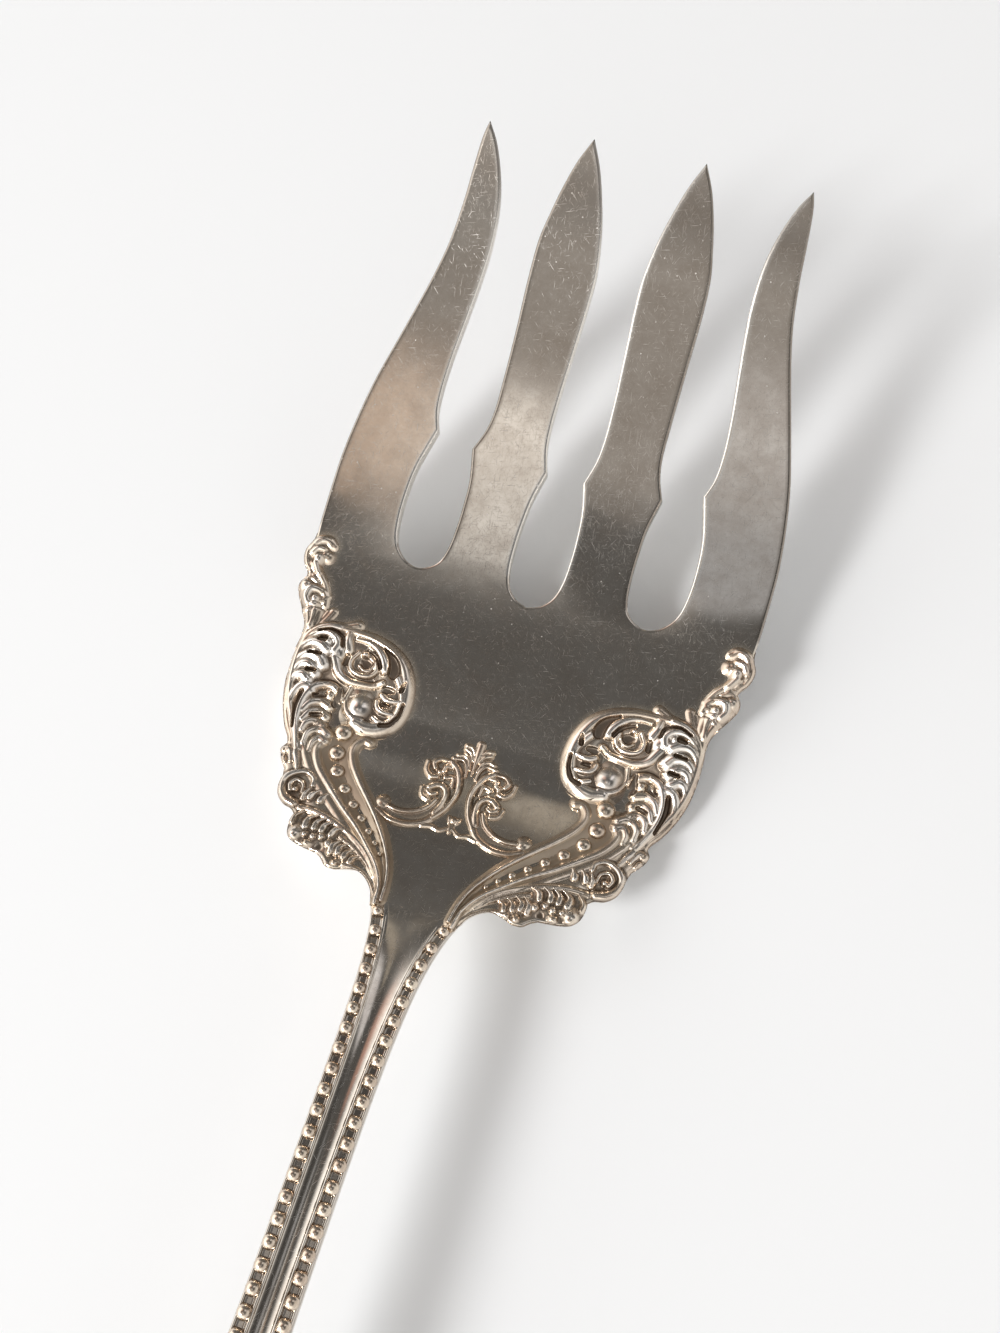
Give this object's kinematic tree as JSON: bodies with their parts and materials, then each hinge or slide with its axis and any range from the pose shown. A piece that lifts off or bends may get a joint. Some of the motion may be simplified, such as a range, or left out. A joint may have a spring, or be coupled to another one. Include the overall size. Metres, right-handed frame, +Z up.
{
  "type": "meat fork",
  "caption": "Serving fork for cold meat with flat shaped tines, a shallow bowl edged with leaf scrolls and beads, and an arched beaded handle, in tarnished silver.",
  "frame": {"origin": "middle of the fork's box in plan, on the table that it lies on with the heel of its bowl and the end of its handle", "axes": "+Y along the fork from the handle to the tips of the tines, +Z up out of the open side of the bowl, +X across"},
  "size_m": [0.0572, 0.2223, 0.0338],
  "materials": {
    "plain_silver": "tarnished silver, worn and finely scratched",
    "cast_silver": "cast silver relief, polished on the high places and dark in the hollows"
  },
  "bodies": {
    "root": {"head_plate": "plain_silver", "handle_stem": "plain_silver", "left_scroll_leaf": "cast_silver", "right_scroll_leaf": "cast_silver", "left_edge_shell": "cast_silver", "right_edge_shell": "cast_silver", "left_tine_scroll": "cast_silver", "right_tine_scroll": "cast_silver", "left_bead_channel": "cast_silver", "right_bead_channel": "cast_silver", "left_channel_beads": "cast_silver", "right_channel_beads": "cast_silver", "leaf_spray": "cast_silver", "left_handle_beads": "cast_silver", "right_handle_beads": "cast_silver"}
  },
  "joints": []
}
